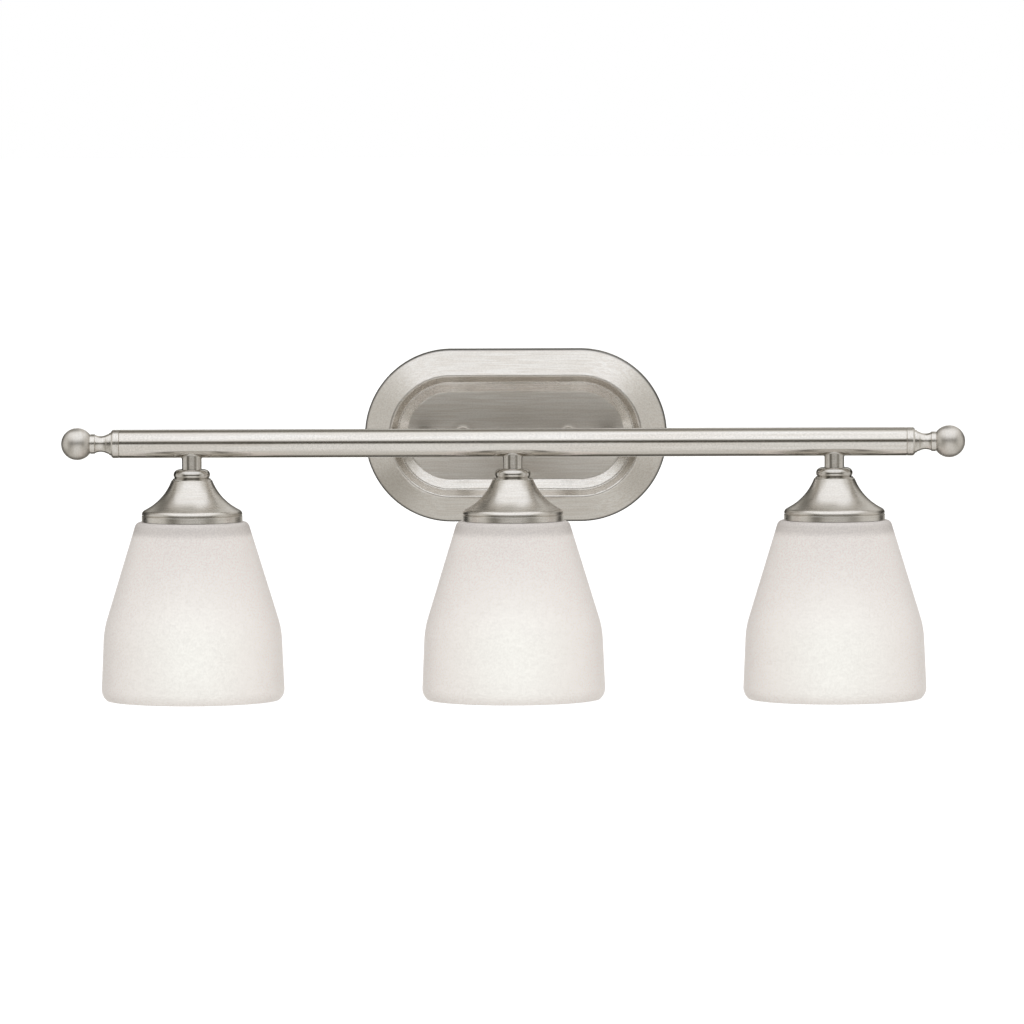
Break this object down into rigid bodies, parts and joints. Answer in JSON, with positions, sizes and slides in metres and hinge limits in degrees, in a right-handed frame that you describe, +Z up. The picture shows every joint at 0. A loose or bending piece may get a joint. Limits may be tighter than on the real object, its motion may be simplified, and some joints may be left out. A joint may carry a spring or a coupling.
{
  "type": "vanity light bar",
  "caption": "Wall light for over a mirror: satin tube with ball finials, dropped white glass shades on turned stems, and a pressed backplate with rounded ends.",
  "frame": {"origin": "centre of the backplate's wall side, on the wall", "axes": "+X along the bar to the right as seen from the room, +Y into the wall, +Z up"},
  "size_m": [0.6044, 0.1712, 0.2305],
  "materials": {
    "brushed_nickel": "satin brushed nickel plate",
    "plated_steel": "zinc plated",
    "green_screw": "green dyed zinc",
    "etched_glass": "white glass, etched satin",
    "ring_metal": "machined",
    "phenolic": "moulded phenolic",
    "brass": "stamped",
    "lamp_base_metal": "rolled thread shell",
    "lamp_glass": "frosted inside",
    "lead_black": "extruded insulation",
    "lead_white": "extruded insulation",
    "connector_plastic": "moulded"
  },
  "bodies": {
    "fixture": {"arm_left": "brushed_nickel", "arm_nipples": "plated_steel", "arm_nuts": "plated_steel", "arm_right": "brushed_nickel", "arm_washers": "plated_steel", "backplate": "brushed_nickel", "bar_plug_left": "plated_steel", "bar_plug_right": "plated_steel", "bar_tube": "brushed_nickel", "collar_centre": "brushed_nickel", "collar_left": "brushed_nickel", "collar_right": "brushed_nickel", "finial_left": "brushed_nickel", "finial_right": "brushed_nickel", "ground_screw": "green_screw", "holder_nuts": "plated_steel", "live_leads": "lead_black", "mounting_plate": "plated_steel", "mounting_studs": "plated_steel", "neutral_leads": "lead_white", "shade_holder_centre": "brushed_nickel", "shade_holder_left": "brushed_nickel", "shade_holder_right": "brushed_nickel", "socket_centre": "phenolic", "socket_contact_centre": "brass", "socket_contact_left": "brass", "socket_contact_right": "brass", "socket_left": "phenolic", "socket_right": "phenolic", "socket_shell_centre": "brass", "socket_shell_left": "brass", "socket_shell_right": "brass", "stem_centre": "brushed_nickel", "stem_left": "brushed_nickel", "stem_nipples": "plated_steel", "stem_right": "brushed_nickel", "stud_nuts": "plated_steel", "wire_connectors": "connector_plastic"},
    "washer_left": {"stud_washer_left": "plated_steel"},
    "nut_left": {"ball_nut_left": "brushed_nickel"},
    "washer_right": {"stud_washer_right": "plated_steel"},
    "nut_right": {"ball_nut_right": "brushed_nickel"},
    "shade_left": {"glass_shade_left": "etched_glass"},
    "ring_left": {"shade_ring_left": "ring_metal"},
    "lamp_tip_left": {"lamp_contact_left": "brass"},
    "lamp_left": {"lamp_base_left": "lamp_base_metal", "lamp_glass_left": "lamp_glass"},
    "shade_centre": {"glass_shade_centre": "etched_glass"},
    "ring_centre": {"shade_ring_centre": "ring_metal"},
    "lamp_tip_centre": {"lamp_contact_centre": "brass"},
    "lamp_centre": {"lamp_base_centre": "lamp_base_metal", "lamp_glass_centre": "lamp_glass"},
    "shade_right": {"glass_shade_right": "etched_glass"},
    "ring_right": {"shade_ring_right": "ring_metal"},
    "lamp_tip_right": {"lamp_contact_right": "brass"},
    "lamp_right": {"lamp_base_right": "lamp_base_metal", "lamp_glass_right": "lamp_glass"}
  },
  "joints": [
    {"name": "shade_lower_left", "type": "slide", "parent": "fixture", "child": "shade_left", "axis": [0, 0, -1], "range_m": [0, 0.0125]},
    {"name": "ring_turn_left", "type": "hinge", "parent": "shade_left", "child": "ring_left", "pos_m": [-0.2148, -0.11, -0.058], "axis": [0, 0, -1], "range_deg": [0, 1804]},
    {"name": "lamp_lower_left", "type": "slide", "parent": "fixture", "child": "lamp_tip_left", "axis": [0, 0, -1], "range_m": [0, 0.01452]},
    {"name": "lamp_turn_left", "type": "hinge", "parent": "lamp_tip_left", "child": "lamp_left", "pos_m": [-0.2148, -0.11, -0.062], "axis": [0, 0, -1], "range_deg": [0, 1444]},
    {"name": "shade_lower_centre", "type": "slide", "parent": "fixture", "child": "shade_centre", "axis": [0, 0, -1], "range_m": [0, 0.0125]},
    {"name": "ring_turn_centre", "type": "hinge", "parent": "shade_centre", "child": "ring_centre", "pos_m": [0, -0.11, -0.058], "axis": [0, 0, -1], "range_deg": [0, 1804]},
    {"name": "lamp_lower_centre", "type": "slide", "parent": "fixture", "child": "lamp_tip_centre", "axis": [0, 0, -1], "range_m": [0, 0.01452]},
    {"name": "lamp_turn_centre", "type": "hinge", "parent": "lamp_tip_centre", "child": "lamp_centre", "pos_m": [0, -0.11, -0.062], "axis": [0, 0, -1], "range_deg": [0, 1444]},
    {"name": "shade_lower_right", "type": "slide", "parent": "fixture", "child": "shade_right", "axis": [0, 0, -1], "range_m": [0, 0.0125]},
    {"name": "ring_turn_right", "type": "hinge", "parent": "shade_right", "child": "ring_right", "pos_m": [0.2148, -0.11, -0.058], "axis": [0, 0, -1], "range_deg": [0, 1804]},
    {"name": "lamp_lower_right", "type": "slide", "parent": "fixture", "child": "lamp_tip_right", "axis": [0, 0, -1], "range_m": [0, 0.01452]},
    {"name": "lamp_turn_right", "type": "hinge", "parent": "lamp_tip_right", "child": "lamp_right", "pos_m": [0.2148, -0.11, -0.062], "axis": [0, 0, -1], "range_deg": [0, 1444]},
    {"name": "washer_travel_left", "type": "slide", "parent": "fixture", "child": "washer_left", "axis": [0, -1, 0], "range_m": [0, 0.00715]},
    {"name": "ball_nut_turn_left", "type": "hinge", "parent": "washer_left", "child": "nut_left", "pos_m": [-0.0357, -0.02, 0], "axis": [0, -1, 0], "range_deg": [0, 3244]},
    {"name": "washer_travel_right", "type": "slide", "parent": "fixture", "child": "washer_right", "axis": [0, -1, 0], "range_m": [0, 0.00715]},
    {"name": "ball_nut_turn_right", "type": "hinge", "parent": "washer_right", "child": "nut_right", "pos_m": [0.0357, -0.02, 0], "axis": [0, -1, 0], "range_deg": [0, 3244]}
  ],
  "couplings": [
    {"joint": "ring_turn_left", "follows": "shade_lower_left", "rad_per_m": 2513.3},
    {"joint": "lamp_turn_left", "follows": "lamp_lower_left", "rad_per_m": 1731.4},
    {"joint": "ring_turn_centre", "follows": "shade_lower_centre", "rad_per_m": 2513.3},
    {"joint": "lamp_turn_centre", "follows": "lamp_lower_centre", "rad_per_m": 1731.4},
    {"joint": "ring_turn_right", "follows": "shade_lower_right", "rad_per_m": 2513.3},
    {"joint": "lamp_turn_right", "follows": "lamp_lower_right", "rad_per_m": 1731.4},
    {"joint": "ball_nut_turn_left", "follows": "washer_travel_left", "rad_per_m": 7913.3},
    {"joint": "ball_nut_turn_right", "follows": "washer_travel_right", "rad_per_m": 7913.3}
  ]
}
